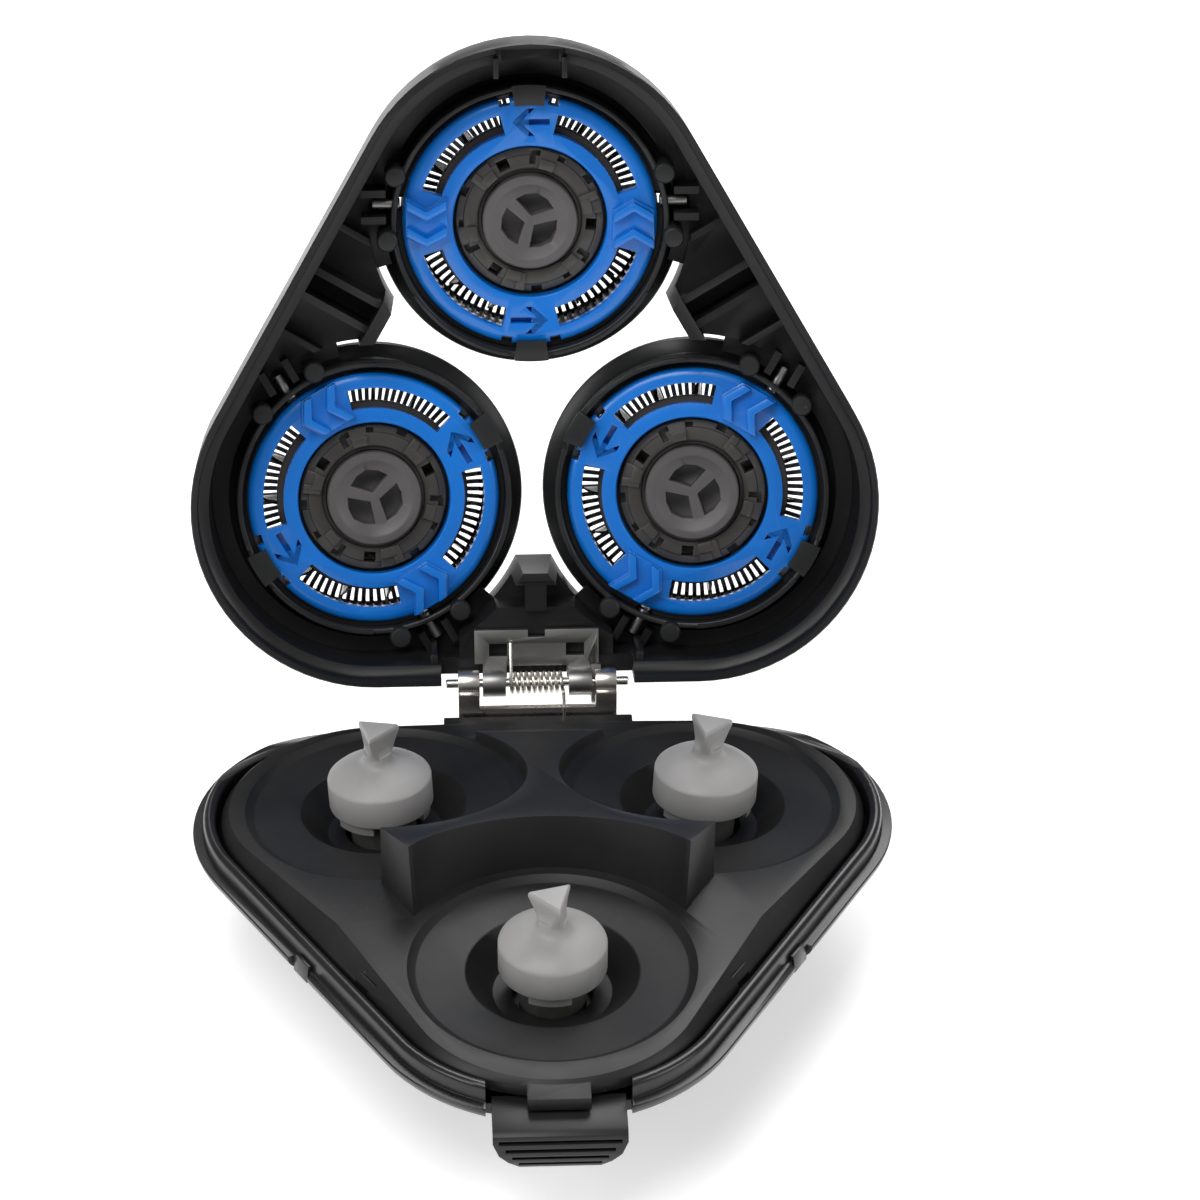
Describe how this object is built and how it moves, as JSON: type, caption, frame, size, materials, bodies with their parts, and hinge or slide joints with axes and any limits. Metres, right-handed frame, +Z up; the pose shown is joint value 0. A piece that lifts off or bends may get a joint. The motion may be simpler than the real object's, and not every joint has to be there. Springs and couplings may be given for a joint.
{
  "type": "rotary shaver head unit",
  "caption": "Rounded triangular rotary shaving unit, lid hinged open: sprung drivers on the base, tilting round shaving heads in the lid, with release button.",
  "frame": {"origin": "middle of the bounding box, at the bottom, with the lid open", "axes": "+Z up from the neck that it stands on, -Y towards the release button, +Y towards the hinge, +X to the right seen from the button"},
  "size_m": [0.0628, 0.0898, 0.0737],
  "materials": {
    "black_plastic": "satin black ABS",
    "tray_plastic": "satin black moulding",
    "grey_plastic": "light grey acetal",
    "gear_plastic": "natural acetal",
    "holder_plastic": "dark grey moulding",
    "carrier_plastic": "warm grey moulding",
    "blue_plastic": "glossy blue moulding",
    "bright_steel": "bright spring steel",
    "satin_steel": "satin steel",
    "chrome": "polished",
    "blade_steel": "ground steel"
  },
  "bodies": {
    "base": {"base_shell": "black_plastic", "drive_tray": "tray_plastic", "drive_bearing": "satin_steel", "gear_axle_1": "satin_steel", "gear_axle_2": "satin_steel", "gear_axle_3": "satin_steel", "tray_screw_1": "satin_steel", "tray_screw_2": "satin_steel", "tray_screw_3": "satin_steel", "hinge_bracket_lower": "bright_steel", "hinge_pin": "bright_steel", "hinge_spring": "bright_steel", "latch_spring": "bright_steel"},
    "button": {"release_button": "black_plastic"},
    "sun": {"central_gear": "gear_plastic"},
    "lid": {"top_frame": "black_plastic", "hinge_bracket_upper": "satin_steel", "head_pivot_pin_1": "satin_steel", "head_pivot_pin_2": "satin_steel", "head_pivot_pin_3": "satin_steel", "head_pivot_pin_4": "satin_steel", "head_pivot_pin_5": "satin_steel", "head_pivot_pin_6": "satin_steel"},
    "planet_1": {"planet_gear_1": "gear_plastic", "spindle_spring_1": "bright_steel"},
    "driver_1": {"drive_spindle_1": "grey_plastic"},
    "planet_2": {"planet_gear_2": "gear_plastic", "spindle_spring_2": "bright_steel"},
    "driver_2": {"drive_spindle_2": "grey_plastic"},
    "planet_3": {"planet_gear_3": "gear_plastic", "spindle_spring_3": "bright_steel"},
    "driver_3": {"drive_spindle_3": "grey_plastic"},
    "head_1": {"head_holder_1": "holder_plastic", "head_trim_1": "chrome", "head_guard_1": "blade_steel"},
    "cutter_1": {"head_cutter_carrier_1": "carrier_plastic", "head_blades_1": "blade_steel"},
    "ring_1": {"head_ring_1": "blue_plastic"},
    "head_2": {"head_holder_2": "holder_plastic", "head_trim_2": "chrome", "head_guard_2": "blade_steel"},
    "cutter_2": {"head_cutter_carrier_2": "carrier_plastic", "head_blades_2": "blade_steel"},
    "ring_2": {"head_ring_2": "blue_plastic"},
    "head_3": {"head_holder_3": "holder_plastic", "head_trim_3": "chrome", "head_guard_3": "blade_steel"},
    "cutter_3": {"head_cutter_carrier_3": "carrier_plastic", "head_blades_3": "blade_steel"},
    "ring_3": {"head_ring_3": "blue_plastic"}
  },
  "joints": [
    {"name": "lid_hinge", "type": "hinge", "parent": "base", "child": "lid", "pos_m": [0, 0.01695, 0.01596], "axis": [-1, 0, 0], "range_deg": [-109.2, 0], "stiffness_Nm_per_rad": 0.003, "springref_deg": 34.38, "deforming": ["hinge_spring"]},
    {"name": "release_button_press", "type": "slide", "parent": "base", "child": "button", "axis": [0, 1, 0], "range_m": [0, 0.0012], "stiffness_N_per_m": 500, "springref_m": -0.0006, "deforming": ["latch_spring"]},
    {"name": "central_gear_spin", "type": "hinge", "parent": "base", "child": "sun", "pos_m": [0, -0.00847, 0.0092], "axis": [0, 0, 1], "continuous": true},
    {"name": "planet_gear_1_spin", "type": "hinge", "parent": "base", "child": "planet_1", "pos_m": [0, -0.02499, 0.00922], "axis": [0, -0.061, 0.9981], "continuous": true},
    {"name": "driver_1_press", "type": "slide", "parent": "planet_1", "child": "driver_1", "axis": [0, -0.061, 0.9981], "range_m": [-0.0016, 0], "stiffness_N_per_m": 250, "springref_m": 0.0008, "deforming": ["spindle_spring_1"]},
    {"name": "planet_gear_2_spin", "type": "hinge", "parent": "base", "child": "planet_2", "pos_m": [0.01431, -0.00021, 0.00922], "axis": [0.0529, 0.0305, 0.9981], "continuous": true},
    {"name": "driver_2_press", "type": "slide", "parent": "planet_2", "child": "driver_2", "axis": [0.0529, 0.0305, 0.9981], "range_m": [-0.0016, 0], "stiffness_N_per_m": 250, "springref_m": 0.0008, "deforming": ["spindle_spring_2"]},
    {"name": "planet_gear_3_spin", "type": "hinge", "parent": "base", "child": "planet_3", "pos_m": [-0.01431, -0.00021, 0.00922], "axis": [-0.0529, 0.0305, 0.9981], "continuous": true},
    {"name": "driver_3_press", "type": "slide", "parent": "planet_3", "child": "driver_3", "axis": [-0.0529, 0.0305, 0.9981], "range_m": [-0.0016, 0], "stiffness_N_per_m": 250, "springref_m": 0.0008, "deforming": ["spindle_spring_3"]},
    {"name": "head_1_tilt", "type": "hinge", "parent": "lid", "child": "head_1", "pos_m": [0, 0.03696, 0.05602], "axis": [-1, 0, 0], "range_deg": [0, 8], "stiffness_Nm_per_rad": 0.003, "springref_deg": -17.19},
    {"name": "cutter_1_spin", "type": "hinge", "parent": "head_1", "child": "cutter_1", "pos_m": [0, 0.03803, 0.05403], "axis": [0, 0.9736, -0.2284], "continuous": true},
    {"name": "ring_1_turn", "type": "hinge", "parent": "head_1", "child": "ring_1", "pos_m": [0, 0.03623, 0.05445], "axis": [0, -0.9736, 0.2284], "range_deg": [0, 25]},
    {"name": "head_2_tilt", "type": "hinge", "parent": "lid", "child": "head_2", "pos_m": [0.01645, 0.02759, 0.02912], "axis": [0.5, 0.2848, 0.8179], "range_deg": [0, 8], "stiffness_Nm_per_rad": 0.003, "springref_deg": -17.19},
    {"name": "cutter_2_spin", "type": "hinge", "parent": "head_2", "child": "cutter_2", "pos_m": [0.01512, 0.02942, 0.02929], "axis": [0.0905, 0.922, -0.3764], "continuous": true},
    {"name": "ring_2_turn", "type": "hinge", "parent": "head_2", "child": "ring_2", "pos_m": [0.01495, 0.02771, 0.02999], "axis": [-0.0905, -0.922, 0.3764], "range_deg": [0, 25]},
    {"name": "head_3_tilt", "type": "hinge", "parent": "lid", "child": "head_3", "pos_m": [-0.01645, 0.02759, 0.02912], "axis": [0.5, -0.2848, -0.8179], "range_deg": [0, 8], "stiffness_Nm_per_rad": 0.003, "springref_deg": -17.19},
    {"name": "cutter_3_spin", "type": "hinge", "parent": "head_3", "child": "cutter_3", "pos_m": [-0.01512, 0.02942, 0.02929], "axis": [-0.0905, 0.922, -0.3764], "continuous": true},
    {"name": "ring_3_turn", "type": "hinge", "parent": "head_3", "child": "ring_3", "pos_m": [-0.01495, 0.02771, 0.02999], "axis": [0.0905, -0.922, 0.3764], "range_deg": [0, 25]}
  ],
  "couplings": [
    {"joint": "planet_gear_1_spin", "follows": "central_gear_spin", "ratio": -1.3636},
    {"joint": "planet_gear_2_spin", "follows": "central_gear_spin", "ratio": -1.3636},
    {"joint": "planet_gear_3_spin", "follows": "central_gear_spin", "ratio": -1.3636},
    {"joint": "cutter_1_spin", "follows": "central_gear_spin", "ratio": -1.3636},
    {"joint": "cutter_2_spin", "follows": "central_gear_spin", "ratio": -1.3636},
    {"joint": "cutter_3_spin", "follows": "central_gear_spin", "ratio": -1.3636}
  ]
}
